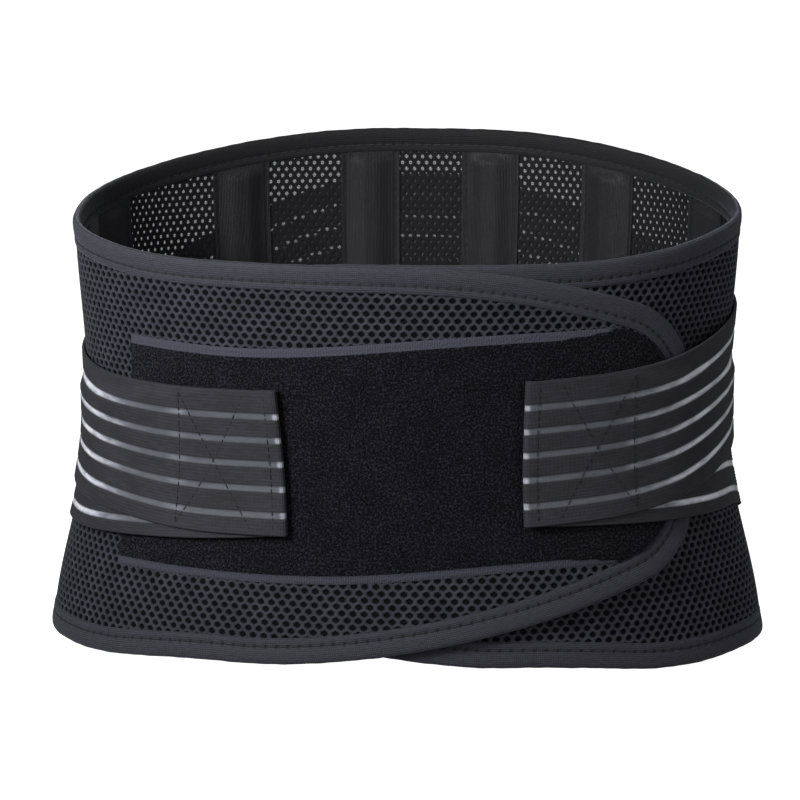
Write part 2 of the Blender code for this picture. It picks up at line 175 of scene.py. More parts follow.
# ---------------------------------------------------------------- the ring's surface

def smooth(value):
    value = np.clip(value, 0.0, 1.0)
    return value * value * (3.0 - 2.0 * value)


def waist_table():
    """Plan angles, and the distances round the waist ellipse that they stand for."""
    angles = np.linspace(-math.pi, math.pi, TABLE_STEPS + 1)
    steps = np.hypot(np.diff(WAIST_HALF_WIDTH * np.sin(angles)), np.diff(WAIST_HALF_DEPTH * np.cos(angles)))
    distances = np.concatenate(([0.0], np.cumsum(steps)))
    return angles, distances - distances[-1] / 2.0


ANGLES, DISTANCES = waist_table()
HALF_WAIST = float(DISTANCES[-1])
SIDE = HALF_WAIST / 2.0


def half_width(z):
    hip = HIP_FLARE * smooth((HIP_FLARE_HEIGHT - z) / HIP_FLARE_HEIGHT)
    rib = RIB_FLARE * smooth((z - RIB_FLARE_START) / RIB_FLARE_HEIGHT)
    return WAIST_HALF_WIDTH + hip + rib


def surface(along, z, offset):
    """World points, for arrays of places, heights and offsets that broadcast together."""
    along, z, offset = np.broadcast_arrays(along, z, offset)
    wrapped = (along + HALF_WAIST) % (2.0 * HALF_WAIST) - HALF_WAIST
    angle = np.interp(wrapped, DISTANCES, ANGLES)
    a = half_width(z)
    b = a * WAIST_HALF_DEPTH / WAIST_HALF_WIDTH
    normal_x = np.sin(angle) / a
    normal_y = -np.cos(angle) / b
    length = np.hypot(normal_x, normal_y)
    x = a * np.sin(angle) + offset * normal_x / length
    y = RING_CENTRE_Y - b * np.cos(angle) + offset * normal_y / length
    return np.stack([x, y, z], axis=-1)


def from_front(along):
    """Distance from the centre front by the shorter way, for places that may pass the centre back."""
    wrapped = (np.asarray(along) + HALF_WAIST) % (2.0 * HALF_WAIST) - HALF_WAIST
    return np.abs(wrapped)


def rim_top(along):
    share = from_front(along) / HALF_WAIST
    return FRONT_TOP + (BACK_TOP - FRONT_TOP) * smooth((share - TOP_RISE_START) / TOP_RISE_LENGTH)


def rim_bottom(along):
    along = from_front(along)
    belly = BELLY_LIFT * (1.0 - smooth((along - BELLY_LIFT_FLAT) / BELLY_LIFT_FADE))
    rising = smooth((along - HIP_LIFT_START) / HIP_LIFT_RISE)
    falling = smooth((along - HIP_LIFT_END) / HIP_LIFT_FALL)
    return belly + HIP_LIFT * rising * (1.0 - falling)


def panel_heights(reached):
    """Bottom and top of a front panel, where reached grows toward its rounded end."""
    reached = np.minimum(reached, PANEL_END)
    past_flat = np.maximum(0.0, reached + BELLY_LIFT_FLAT)
    taper = BOTTOM_TAPER * (past_flat / (PANEL_END + BELLY_LIFT_FLAT)) ** BOTTOM_TAPER_POWER
    bottom = np.where(past_flat > 0.0, BELLY_LIFT + taper, rim_bottom(reached))
    drop = TOP_TAPER * (np.maximum(0.0, reached) / PANEL_END) ** TOP_TAPER_POWER
    top = np.where(reached > 0.0, FRONT_TOP - drop, rim_top(reached))
    past = np.clip((reached - (PANEL_END - PANEL_END_ROUND)) / PANEL_END_ROUND, 0.0, 1.0)
    share = PANEL_END_FLAT + (1.0 - PANEL_END_FLAT) * np.sqrt(1.0 - past * past)
    middle, half = (bottom + top) / 2.0, (top - bottom) / 2.0 * share
    return middle - half, middle + half


def panel_inside(reached, distance):
    """Bottom and top of the part of a front panel that keeps a distance from its edge."""
    low, high = panel_heights(reached)
    for step in range(-8, 9):
        sideways = distance * step / 8
        away = math.sqrt(distance * distance - sideways * sideways)
        near_low, near_high = panel_heights(reached + sideways)
        low = np.maximum(low, near_low + away)
        high = np.minimum(high, near_high - away)
    return low, high


def lap(along):
    return smooth((SIDE - from_front(along)) / LAP_RAMP)


def through(points, place):
    """Heights on the smooth curve through a few (distance, height) points."""
    places = np.array([point[0] for point in points])
    heights = np.array([point[1] for point in points])
    slopes = np.diff(heights) / np.diff(places)
    at = np.concatenate(([slopes[0]], (slopes[:-1] + slopes[1:]) / 2.0, [slopes[-1]]))
    place = np.clip(place, places[0], places[-1])
    left = np.clip(np.searchsorted(places, place, side="right") - 1, 0, len(places) - 2)
    width = places[left + 1] - places[left]
    t = (place - places[left]) / width
    return (heights[left] * (1 + 2 * t) * (1 - t) ** 2 + at[left] * width * t * (1 - t) ** 2
            + heights[left + 1] * t * t * (3 - 2 * t) + at[left + 1] * width * t * t * (t - 1))


def wander(places, scale, seed):
    """Slow irregular waves between -1 and 1 along a distance, the same on every run."""
    phases = np.random.default_rng(seed).uniform(0.0, 2.0 * math.pi, 4)
    waves = [np.sin(np.asarray(places) * 2.0 * math.pi / (scale * stretch) + phase)
             for stretch, phase in zip((1.0, 0.618, 1.73, 0.381), phases)]
    return sum(waves) / len(waves)


# ---------------------------------------------------------------- mesh building

def placed(name, data):
    item = bpy.data.objects.new(name, data)
    bpy.context.collection.objects.link(item)
    return item


def make_piece(name, points, faces, material, cloth, extras=None, sharp=55.0):
    """A closed mesh. cloth holds each point's place on the cloth, for the patterns."""
    points = np.asarray(points, float).reshape(-1, 3)
    first, *others = (points[corners] for corners in faces.T)
    volume = sum((first * np.cross(b, c)).sum() for b, c in zip(others, others[1:]))
    if volume < 0.0:
        faces = faces[:, ::-1]
    mesh = bpy.data.meshes.new(name)
    mesh.vertices.add(len(points))
    mesh.vertices.foreach_set("co", points.astype(np.float32).ravel())
    mesh.loops.add(faces.size)
    mesh.loops.foreach_set("vertex_index", faces.astype(np.int32).ravel())
    mesh.polygons.add(len(faces))
    mesh.polygons.foreach_set("loop_start", np.arange(0, faces.size, faces.shape[1], dtype=np.int32))
    mesh.update(calc_edges=True)
    mesh.validate()
    mesh.shade_smooth()
    mesh.set_sharp_from_angle(angle=math.radians(sharp))
    place = np.zeros((len(points), 3), np.float32)
    place[:, :2] = np.asarray(cloth, float).reshape(-1, 2)
    mesh.attributes.new("cloth", "FLOAT_VECTOR", "POINT").data.foreach_set("vector", place.ravel())
    for key, values in (extras or {}).items():
        flat = np.broadcast_to(np.asarray(values, float).ravel(), (len(points),)).astype(np.float32)
        mesh.attributes.new(key, "FLOAT", "POINT").data.foreach_set("value", flat)
    mesh.materials.append(material)
    return placed(name, mesh)


def grid_quads(wide, tall, base=0):
    """Faces of a grid of wide by tall points."""
    i, j = np.meshgrid(np.arange(wide - 1), np.arange(tall - 1), indexing="ij")
    corner = base + i * tall + j
    return np.stack([corner, corner + tall, corner + tall + 1, corner + 1], axis=-1).reshape(-1, 4)


def slab(name, outer, inner, material, cloth, extras=None, sharp=55.0):
    """A closed sheet between two equal grids of points."""
    wide, tall = outer.shape[:2]
    count = wide * tall
    quads = [grid_quads(wide, tall), grid_quads(wide, tall, count)[:, ::-1]]
    index = np.arange(count).reshape(wide, tall)
    edge = np.concatenate([index[:, 0], index[-1, 1:], index[-2::-1, -1], index[0, -2:0:-1]])
    after = np.roll(edge, -1)
    quads.append(np.stack([after, edge, edge + count, after + count], axis=-1))
    doubled = {key: np.concatenate([np.ravel(value)] * 2) for key, value in (extras or {}).items()}
    return make_piece(name, np.concatenate([outer.reshape(-1, 3), inner.reshape(-1, 3)]),
                      np.concatenate(quads), material,
                      np.concatenate([cloth.reshape(-1, 2)] * 2), doubled, sharp)


def stepped(start, end, step):
    """Evenly spaced places from start to end, about a step apart."""
    return np.linspace(start, end, max(2, math.ceil(abs(end - start) / step)) + 1)


def rounded(start, turn, step, reach, count):
    """Places in even steps from start to turn, then closer and closer over the round end's reach."""
    return np.concatenate([stepped(start, turn, step),
                           turn + reach * np.sin(np.linspace(0.0, math.pi / 2, count)[1:])])


CELL_CORNERS = np.array([(1, -1), (1, 1), (0, 2), (-1, 1), (-1, -1), (0, -2)])
HOLE_TURNS = np.radians([-20, 20, 90, 160, 200, 270])


def perforated(name, span, heights, knit, place, skin, base, keep, material):
    """Knitted mesh with a hole in each six-sided cell, as a closed sheet from offset skin to base.

    span is the places that it covers, heights its lowest and highest row, and keep(along, z) tells
    which cells are there. place(along, z, offset) gives world points.
    """
    pitch, row, hole_wide, hole_tall = knit
    rows = np.arange(math.floor(heights[0] / row), math.ceil(heights[1] / row) + 1)
    columns = np.arange(math.ceil((span[1] - span[0]) / pitch) + 1)
    j, i = np.meshgrid(rows, columns, indexing="ij")
    doubled = 2 * i + j % 2
    kept = keep(span[0] + doubled * pitch / 2.0, j * row)
    doubled, j = doubled[kept], j[kept]
    count = len(j)

    keys = np.stack([doubled, 3 * j], axis=-1)[:, None, :] + CELL_CORNERS[None]
    unique, index = np.unique(keys.reshape(-1, 2), axis=0, return_inverse=True)
    index = index.reshape(count, 6)
    corner = np.stack([span[0] + unique[:, 0] * pitch / 2.0, unique[:, 1] * row / 3.0], axis=-1)
    centre = np.stack([span[0] + doubled * pitch / 2.0, j * row], axis=-1)[:, None, :]
    ring = np.stack([hole_wide * np.cos(HOLE_TURNS), hole_tall * np.sin(HOLE_TURNS)], axis=-1)[None]
    hole = centre + ring
    middle = 0.45 * hole + 0.55 * corner[index]

    thick = skin - base
    # The third value of each level is how deep in a hole it lies; the yarn darkens with it as painted shade.
    levels = [(corner, skin, 0.0), (middle.reshape(-1, 2), skin - 0.10 * thick, 0.12),
              (hole.reshape(-1, 2), skin - 0.48 * thick, 0.7), (hole.reshape(-1, 2), base, 1.0),
              (corner, base, 1.0)]
    points = np.concatenate([place(flat[:, 0], flat[:, 1], level) for flat, level, _ in levels])
    cloth = np.concatenate([flat for flat, _, _ in levels])
    hole_shade = np.concatenate([np.full(len(flat), depth) for flat, _, depth in levels])
    sizes = np.cumsum([0] + [len(flat) for flat, _, _ in levels])
    own = np.arange(count * 6).reshape(count, 6)
    rings = [index, own + sizes[1], own + sizes[2], own + sizes[3], index + sizes[4]]
    quads = [np.stack([upper, np.roll(upper, -1, 1), np.roll(lower, -1, 1), lower], -1).reshape(-1, 4)
             for upper, lower in zip(rings, rings[1:])]

    edges = np.stack([index, np.roll(index, -1, 1)], axis=-1).reshape(-1, 2)
    _, where, uses = np.unique(np.sort(edges, axis=1), axis=0, return_index=True, return_counts=True)
    rim = edges[where[uses == 1]]
    quads.append(np.stack([rim[:, 1], rim[:, 0], rim[:, 0] + sizes[4], rim[:, 1] + sizes[4]], axis=-1))
    return make_piece(name, points, np.concatenate(quads), material, cloth, {"hole_shade": hole_shade}, 75.0)


def even_path(path, step):
    """A path of (place, z) points, sampled again at equal steps, with its inward directions."""
    lengths = np.concatenate(([0.0], np.cumsum(np.hypot(*np.diff(path, axis=0).T))))
    count = max(2, round(lengths[-1] / step))
    wanted = np.linspace(0.0, lengths[-1], count + 1)
    points = np.stack([np.interp(wanted, lengths, path[:, k]) for k in range(2)], axis=-1)
    run = np.gradient(points, axis=0)
    kernel = np.ones(5) / 5.0
    for k in range(2):
        padded = np.concatenate(([run[0, k]] * 2, run[:, k], [run[-1, k]] * 2))
        run[:, k] = np.convolve(padded, kernel, mode="valid")
    run /= np.hypot(run[:, 0], run[:, 1])[:, None]
    return wanted, points, np.stack([-run[:, 1], run[:, 0]], axis=-1)


# Half of a binding's section from its sewn edge to its fold: (depth from the edge, offset).
BINDING_HALF = ((0.0121, 0.00112), (0.0117, 0.00158), (0.0106, 0.00178), (0.0095, 0.00184),
                (0.0089, 0.00182), (0.0082, 0.00176), (0.0075, 0.00184), (0.0068, 0.00196),
                (0.0050, 0.00220), (0.0028, 0.00232), (0.0014, 0.00218), (0.0004, 0.00172),
                (-0.0001, 0.00100), (-0.0003, 0.00034))


def folded_binding(name, path, middle, seed):
    """Tape folded over an edge, sewn down through both sides, and its stitches' places.

    path is the edge's places in order, with the fabric on their left.
    """
    distances, edge, inward = even_path(path, STITCH / 4.0)
    section = np.array(BINDING_HALF + tuple((depth, -out) for depth, out in reversed(BINDING_HALF)))
    depth = np.broadcast_to(section[:, 0], (len(edge), len(section))).copy()
    out = np.broadcast_to(section[:, 1], depth.shape).copy()
    near = np.exp(-((depth - STITCH_DEPTH) / 0.0009) ** 2)
    pull = np.exp(-(((distances + STITCH / 2.0) % STITCH - STITCH / 2.0) / 0.0008) ** 2)[:, None]
    last = len(section) - 1
    out -= np.sign(out) * near * (0.00020 + 0.00040 * pull)
    needle = near * pull
    loose = np.clip(depth / BINDING_WIDTH, 0.0, 1.0)
    depth += (1.0 - loose) * 0.00018 * wander(distances, 0.021, seed)[:, None]
    out *= 1.0 + 0.05 * (1.0 - loose) * wander(distances, 0.034, seed + 1)[:, None]
    places = edge[:, None, 0] + depth * inward[:, None, 0]
    z = edge[:, None, 1] + depth * inward[:, None, 1]
    points = surface(places, z, middle(places) + out)
    wide, tall = depth.shape
    i, j = np.meshgrid(np.arange(wide - 1), np.arange(tall), indexing="ij")
    k = (j + 1) % tall
    quads = [np.stack([i * tall + j, (i + 1) * tall + j, (i + 1) * tall + k, i * tall + k], -1)
             .reshape(-1, 4)]
    half = np.arange(tall // 2 - 1)
    cap = np.stack([half, half + 1, last - 1 - half, last - half], axis=-1)
    quads += [cap, (cap + (wide - 1) * tall)[:, ::-1]]
    cloth = np.stack([np.broadcast_to(distances[:, None], depth.shape), depth], axis=-1)
    # inner marks the tape's inner face, which the tape material darkens as painted shade.
    item = make_piece(name, points, np.concatenate(quads), BINDING_TAPE, cloth,
                      {"needle": needle, "inner": smooth(0.5 - out / 0.0014)})
    return item, (distances, edge, inward)


def thread(name, rows, length, radius=THREAD):
    """Sewn stitches, each a short arched length of thread with square ends.

    rows holds, for each row of stitches, their centres, points ahead of them and points above them.
    """
    centres, ahead, above = (np.concatenate(part) for part in zip(*rows))
    along = ahead - centres
    along /= np.linalg.norm(along, axis=1)[:, None]
    across = np.cross(along, above - centres)
    across /= np.linalg.norm(across, axis=1)[:, None]
    outward = np.cross(across, along)
    t = np.array([-1.0, -0.6, 0.0, 0.6, 1.0])
    turns = np.radians([45, 135, 225, 315])
    body = (centres[:, None] + along[:, None] * (t * length / 2.0)[None, :, None]
            + outward[:, None] * (THREAD_ARCH * (1.0 - t * t) - THREAD_ARCH * 0.6)[None, :, None])
    thin = radius * np.array([0.45, 0.95, 1.0, 0.95, 0.45])
    ring = (across[:, None, None] * np.cos(turns)[None, None, :, None]
            + outward[:, None, None] * np.sin(turns)[None, None, :, None])
    points = body[:, :, None] + ring * thin[None, :, None, None]
    count = len(centres)
    own = np.arange(count)[:, None] * 20
    quads = [own + 4 * i + np.array([j, (j + 1) % 4, (j + 1) % 4 + 4, j + 4])
             for i in range(4) for j in range(4)]
    quads += [own + np.array([3, 2, 1, 0]), own + np.array([16, 17, 18, 19])]
    cloth = np.broadcast_to(np.stack([t * length, t * 0.0], -1)[None, :, None], (count, 5, 4, 2))
    return make_piece(name, points, np.concatenate(quads), BLACK_THREAD, cloth, None, 60.0)


def seam_stitches(name, sewn, middle):
    """Stitches of a binding, on both of its faces."""
    distances, edge, inward = sewn
    line = edge + inward * STITCH_DEPTH
    half_way = np.arange(STITCH / 2.0, distances[-1] - STITCH / 2.0, STITCH)
    here, ahead = ([np.interp(half_way + step, distances, line[:, k]) for k in range(2)]
                   for step in (0.0, 0.001))
    rows = [[surface(along, z, middle(along) + face * out)
             for (along, z), out in ((here, STITCH_OUT), (ahead, STITCH_OUT), (here, STITCH_OUT + 0.001))]
            for face in (1.0, -1.0)]
    return thread(name, rows, STITCH * 0.72)


# ---------------------------------------------------------------- materials

SHEEN_TINT = (0.75, 0.78, 0.9)


class Recipe:
    """A Principled material with short names for its nodes, patterned by each point's own place."""

    def __init__(self, name, on_cloth=True):
        self.material = bpy.data.materials.new(name)
        self.material.use_nodes = True
        self.tree = self.material.node_tree
        self.shader = self.tree.nodes["Principled BSDF"]
        self.place = self.value("cloth", "Vector") if on_cloth else self.node("TexCoord", "Object", {})

    def node(self, kind, output, inputs, **settings):
        node = self.tree.nodes.new("ShaderNode" + kind)
        for key, value in settings.items():
            setattr(node, key, value)
        for key, value in inputs.items():
            self.feed(node.inputs[key], value)
        return node.outputs[output]

    def feed(self, socket, value):
        """Links a node's output to a socket, or sets a number, direction or colour on it."""
        if isinstance(value, bpy.types.NodeSocket):
            self.tree.links.new(value, socket)
        elif isinstance(value, tuple) and len(socket.default_value) == 4:
            socket.default_value = (*value, 1.0)
        else:
            socket.default_value = value

    def set(self, name, value):
        self.feed(self.shader.inputs[name], value)

    def value(self, name, output="Fac"):
        return self.node("Attribute", output, {}, attribute_name=name)

    def noise(self, scale, detail=3.0, roughness=0.6, stretch=None):
        place = self.place
        if stretch:
            place = self.node("VectorMath", 0, {0: place, 1: stretch}, operation="MULTIPLY")
        return self.node("TexNoise", "Fac", {"Vector": place, "Scale": scale, "Detail": detail,
                                             "Roughness": roughness})

    def waves(self, direction, scale, distortion=0.0):
        return self.node("TexWave", "Fac", {"Vector": self.place, "Scale": scale, "Distortion": distortion,
                                            "Detail": 1.0, "Detail Scale": 2.0}, bands_direction=direction)

    def math(self, operation, first, second):
        return self.node("Math", 0, {0: first, 1: second}, operation=operation)

    def sum(self, first, share, second, other):
        return self.math("ADD", self.math("MULTIPLY", first, share), self.math("MULTIPLY", second, other))

    def ramp(self, factor, *stops):
        """Colours or greys at positions; each stop is (position, colour or grey)."""
        node = self.tree.nodes.new("ShaderNodeValToRGB")
        while len(node.color_ramp.elements) < len(stops):
            node.color_ramp.elements.new(0.5)
        for element, (position, colour) in zip(node.color_ramp.elements, stops):
            element.position = position
            element.color = (*colour, 1.0) if isinstance(colour, tuple) else (colour, colour, colour, 1.0)
        self.feed(node.inputs["Fac"], factor)
        return node.outputs["Color"]

    def mix(self, factor, first, second, blend="MIX"):
        return self.node("Mix", "Result", {"Factor": factor, "A": first, "B": second}, data_type="RGBA",
                         blend_type=blend)

    def times(self, first, second):
        return self.mix(1.0, first, second, "MULTIPLY")

    def finish(self, colour, roughness, height=None, depth=0.0, gloss=0.5, sheen=None):
        """The material with these set; height is raised to depth, sheen is a weight and a roughness."""
        self.set("Base Color", colour)
        self.set("Roughness", roughness)
        self.set("Specular IOR Level", gloss)
        if sheen:
            for name, value in zip(("Weight", "Roughness", "Tint"), (*sheen, SHEEN_TINT)):
                self.set("Sheen " + name, value)
        if height:
            self.set("Normal", self.node("Bump", "Normal", {"Distance": depth, "Height": height}))
        return self.material


def knit_material(name, dark, light, sheen_weight, hole_shade_to, gloss=0.20):
    """Knitted yarn: filaments, a little colour variation, and painted shade inside its holes."""
    yarn = Recipe(name)
    fine = yarn.noise(2600.0, 2.0, stretch=(1.0, 2.2, 1.0))
    colour = yarn.ramp(yarn.sum(yarn.noise(90.0), 0.6, fine, 0.4), (0.30, dark), (0.72, light))
    # Painted shade: the yarn darkens the deeper a point lies in its hole.
    hole_shade = yarn.ramp(yarn.value("hole_shade"), (0.0, 1.0), (0.12, 0.88), (0.55, 0.48), (0.9, hole_shade_to))
    return yarn.finish(yarn.times(colour, hole_shade), yarn.ramp(fine, (0.2, 0.62), (0.8, 0.86)), fine, 0.00022,
                       gloss, (sheen_weight, 0.35))


def tape_material(name, dark, light, ribs, sheen_weight, roughness):
    """Woven tape: fine ribs across it, a little mottled, dark needle holes, painted shade on its inner face.
    """
    tape = Recipe(name)
    grain = tape.math("MULTIPLY", tape.waves("X", ribs, 2.4), tape.waves("Y", ribs * 0.8, 1.8))
    patchy = tape.noise(340.0, stretch=(1.0, 2.0, 1.0))
    colour = tape.ramp(tape.sum(grain, 0.45, patchy, 0.55), (0.22, dark), (0.68, light))
    needle = tape.ramp(tape.value("needle"), (0.05, 1.0), (0.70, 0.12))
    # Painted shade: the inner face of a folded binding is darkened to about a tenth.
    inner = tape.ramp(tape.value("inner"), (0.0, 1.0), (1.0, 0.09))
    rough = tape.ramp(patchy, (0.3, roughness - 0.08), (0.7, roughness + 0.08))
    return tape.finish(tape.times(colour, tape.times(needle, inner)), rough, grain, 0.00022, 0.3,
                       (sheen_weight, 0.4))


def pile_material(name):
    """Black loop pile: mottled, matt, with small lighter loops; its hem is a smooth woven strip."""
    pile = Recipe(name)
    mottled = pile.noise(900.0, 3.0, 0.65)
    loops = pile.node("TexVoronoi", "Distance", {"Vector": pile.place, "Scale": 1100.0})
    colour = pile.ramp(pile.sum(mottled, 0.88, pile.noise(60.0), 0.12), (0.38, (0.0008, 0.0008, 0.0014)),
                       (0.51, (0.004, 0.004, 0.006)), (0.64, (0.022, 0.022, 0.031)))
    hem = pile.ramp(pile.waves("X", 420.0, 1.0), (0.1, (0.034, 0.034, 0.046)), (0.9, (0.066, 0.066, 0.088)))
    share = pile.ramp(pile.value("hem"), (0.35, 0.0), (0.65, 1.0))
    return pile.finish(pile.mix(share, colour, hem), 0.92, pile.sum(mottled, 0.6, loops, 0.5), 0.0007, 0.08,
                       (0.05, 0.5))


def elastic_material(name):
    """Ribbed elastic: dark bands of fine ribs with painted shade in the grooves, and glossy clear stripes
    whose paleness is partly painted light.
    """
    elastic = Recipe(name)
    clear = elastic.value("clear")
    yarn = elastic.noise(800.0, stretch=(0.25, 1.0, 1.0))
    grain = elastic.sum(yarn, 0.6, elastic.waves("X", 520.0, 2.0), 0.4)
    patchy = elastic.noise(70.0, stretch=(0.5, 1.0, 1.0))
    band = elastic.ramp(elastic.sum(grain, 0.6, patchy, 0.4), (0.38, (0.0040, 0.0040, 0.0066)),
                        (0.64, (0.026, 0.026, 0.038)))
    # Painted shade: the grooves between the ribs are darkened to about half of the ribs' colour.
    band = elastic.times(band, elastic.ramp(elastic.value("rib"), (0.0, 0.52), (1.0, 1.0)))
    film = elastic.noise(260.0, stretch=(0.35, 1.0, 1.0))
    film = elastic.math("ADD", elastic.math("MULTIPLY", film, 1.7), 0.12)
    # The stripes' brightness is partly painted light, strongest from the sides round to the back.
    stripe = elastic.ramp(elastic.math("MULTIPLY", elastic.value("tone"), film), (0.0, (0.05, 0.05, 0.06)),
                          (0.35, (0.16, 0.17, 0.20)), (0.8, (0.62, 0.64, 0.72)), (1.0, (0.85, 0.87, 0.93)))
    elastic.set("Alpha", elastic.math("SUBTRACT", 1.0, elastic.value("sheer")))
    return elastic.finish(elastic.mix(clear, band, stripe), elastic.ramp(clear, (0.2, 0.78), (0.8, 0.40)),
                          grain, 0.00022, sheen=(0.07, 0.4))


def hook_material(name):
    """Moulded nylon hook tape: rows of small hooks on a woven ground."""
    tape = Recipe(name)
    hooks = tape.math("MULTIPLY", tape.waves("X", 210.0, 0.4), tape.waves("Y", 210.0, 0.4))
    fleck = tape.noise(900.0)
    colour = tape.ramp(tape.sum(hooks, 0.7, fleck, 0.3), (0.1, (0.008, 0.008, 0.010)),
                       (0.8, (0.035, 0.035, 0.040)))
    return tape.finish(colour, tape.ramp(fleck, (0.3, 0.38), (0.7, 0.55)), hooks, 0.0005)


def steel_material(name):
    """Brushed spring steel of the stays."""
    steel = Recipe(name, on_cloth=False)
    brushed = steel.noise(2600.0, stretch=(1.0, 1.0, 0.03))
    steel.set("Metallic", 1.0)
    return steel.finish(steel.ramp(brushed, (0.3, (0.42, 0.43, 0.45)), (0.7, (0.62, 0.63, 0.65))),
                        steel.ramp(brushed, (0.3, 0.25), (0.7, 0.42)), brushed, 0.00004)


def thread_material(name, dark, light):
    """Twisted sewing thread."""
    yarn = Recipe(name)
    twist = yarn.waves("DIAGONAL", 900.0)
    return yarn.finish(yarn.ramp(twist, (0.2, dark), (0.8, light)), 0.55, twist, 0.00008)


def gauze_material(name):
    """Sheer inner knit of the net: fine crossed yarns that let part of the light through."""
    gauze = Recipe(name)
    crossed = gauze.math("MAXIMUM", gauze.waves("X", 400.0, 1.0), gauze.waves("Y", 330.0, 1.0))
    gauze.set("Alpha", gauze.ramp(crossed, (0.2, 0.42), (0.9, 0.68)))
    return gauze.finish(gauze.ramp(gauze.noise(300.0), (0.3, (0.010, 0.010, 0.013)),
                                   (0.7, (0.024, 0.024, 0.030))), 0.7)


def fibre_material(name):
    """Loose fibres of the pile, each a little lighter or darker."""
    fibre = Recipe(name)
    return fibre.finish(fibre.ramp(fibre.noise(700.0, 2.0), (0.35, (0.005, 0.005, 0.007)),
                                   (0.68, (0.030, 0.030, 0.036))), 0.6)


SPACER_YARN = knit_material("spacer_yarn", (0.018, 0.018, 0.026), (0.052, 0.052, 0.070), 0.20, 0.08)
LINING_YARN = knit_material("lining_yarn", (0.008, 0.008, 0.011), (0.018, 0.018, 0.025), 0.12, 0.08, 0.1)
# The core yarn is black like the rest, and made darker than the face yarn as painted shade seen down the
# holes.
CORE_SHADE_YARN = knit_material("spacer_core_shade_yarn", (0.003, 0.003, 0.004), (0.007, 0.007, 0.009), 0.0, 0.5, 0.03)
NET_YARN = knit_material("net_yarn", (0.005, 0.005, 0.008), (0.014, 0.014, 0.019), 0.10, 0.4)
BINDING_TAPE = tape_material("binding_weave", (0.015, 0.015, 0.022), (0.056, 0.056, 0.075), 400.0, 0.16,
                             0.68)
POCKET_TAPE = tape_material("pocket_satin", (0.0025, 0.0025, 0.004), (0.0075, 0.0075, 0.0105), 520.0, 0.08,
                            0.48)
PILE = pile_material("loop_pile_black")
ELASTIC = elastic_material("ribbed_elastic_weave")
GAUZE = gauze_material("net_gauze")
HOOKS = hook_material("hook_nylon")
STEEL = steel_material("brushed_stay_steel")
BLACK_THREAD = thread_material("black_thread", (0.003, 0.003, 0.004), (0.014, 0.014, 0.018))


# ---------------------------------------------------------------- placing pieces

def finish_piece(item, replaced=(), rides=None):
    if replaced:
        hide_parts(*replaced)
    if rides:
        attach(item, rides)
    return item


def bend_at_side(item):
    """Fabric that crosses a side hinge gets its placement baked into its points."""
    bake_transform(item)


def grid_of(places, low, high, rows):
    """Places and heights of a grid, each (places, rows + 1), between low and high at each place."""
    share = np.linspace(0.0, 1.0, rows + 1)[None, :]
    z = np.asarray(low)[:, None] + (np.asarray(high) - np.asarray(low))[:, None] * share
    return np.broadcast_to(np.asarray(places)[:, None], z.shape), z


# ---------------------------------------------------------------- front panels

def front_panel(side, direction, patch_hides):
    """Spacer mesh of one front panel: holed outer face, a black core darkened further as painted shade down
    the holes, holed lining, binding.
    """
    def middle(along):
        return direction * LAP_OFFSET * lap(along)

    def on_panel(along, z, offset):
        return surface(along, z, middle(along) + offset)

    def inside(along, z, margin):
        reached = along * direction
        low, high = panel_heights(reached)
        return ((z > low + margin) & (z < high - margin) & (reached < PANEL_END - margin)
                & (reached > -SIDE - SEAM_BEHIND))

    start, turn = -SIDE - SEAM_BEHIND, PANEL_END - PANEL_END_ROUND
    span = tuple(sorted((start * direction, PANEL_END * direction)))
    heights = (0.0, FRONT_TOP + 0.02)
    outer = perforated(side + "_front_spacer_mesh", span, heights, SPACER, on_panel, SPACER_SKIN,
                       SPACER_CORE, lambda u, z: inside(u, z, MESH_MARGIN) & ~patch_hides(u, z), SPACER_YARN)
    finish_piece(outer, (side + "_front_panel",))
    lining = perforated(side + "_front_lining", span, heights, LINING, on_panel, -LINING_SKIN, -SPACER_CORE,
                        lambda u, z: inside(u, z, MESH_MARGIN), LINING_YARN)
    finish_piece(lining)

    places = rounded(start, turn, 0.004, PANEL_END_ROUND - CORE_MARGIN, 16)
    low, high = panel_heights(places)
    along, z = grid_of(places * direction, low + CORE_MARGIN, high - CORE_MARGIN, 40)
    core = slab(side + "_front_spacer_core", on_panel(along, z, CORE_HALF_THICK),
                on_panel(along, z, -CORE_HALF_THICK), CORE_SHADE_YARN, np.stack([along, z], -1))
    finish_piece(core)

    outline = rounded(start, turn, 0.003, PANEL_END_ROUND, 40)
    bottom, top = panel_heights(outline)
    rise = np.linspace(bottom[-1], top[-1], 24)[1:-1]
    path = np.concatenate([np.stack([outline, bottom], -1),
                           np.stack([np.full(len(rise), PANEL_END), rise], -1),
                           np.stack([outline, top], -1)[::-1]])
    if direction < 0:
        path = path[::-1] * np.array([-1.0, 1.0])
    tape, sewn = folded_binding(side + "_front_binding_tape", path, middle, 11 if direction > 0 else 23)
    finish_piece(tape, (side + "_front_binding",))
    stitches = seam_stitches(side + "_front_binding_stitches", sewn, middle)
    finish_piece(stitches)

    for item in (outer, lining, core, tape, stitches, seam_cover(side)):
        bend_at_side(item)


def seam_cover(side):
    """Tape over the seam where a front panel joins the net, on both faces."""
    centre = SIDE_SIGN[side] * (SIDE + SEAM_BEHIND)
    half = SEAM_TAPE_WIDTH / 2.0
    across = centre + np.linspace(-half, half, 15)
    low, high = rim_bottom(across) + 0.0075, rim_top(across) - 0.0075
    along, z = grid_of(across, low, high, 150)
    v = (along - centre) / half
    needle = (np.abs(np.abs(v) - 0.71) < 0.08) & (np.arange(151)[None, :] % 4 == 0)
    proud = 0.00152 - 0.00045 * np.abs(v) ** 6 - 0.00035 * needle
    return finish_piece(slab(side + "_side_seam_tape", surface(along, z, proud), surface(along, z, -proud),
                             BINDING_TAPE, np.stack([z, along - centre], -1), {"needle": needle}))


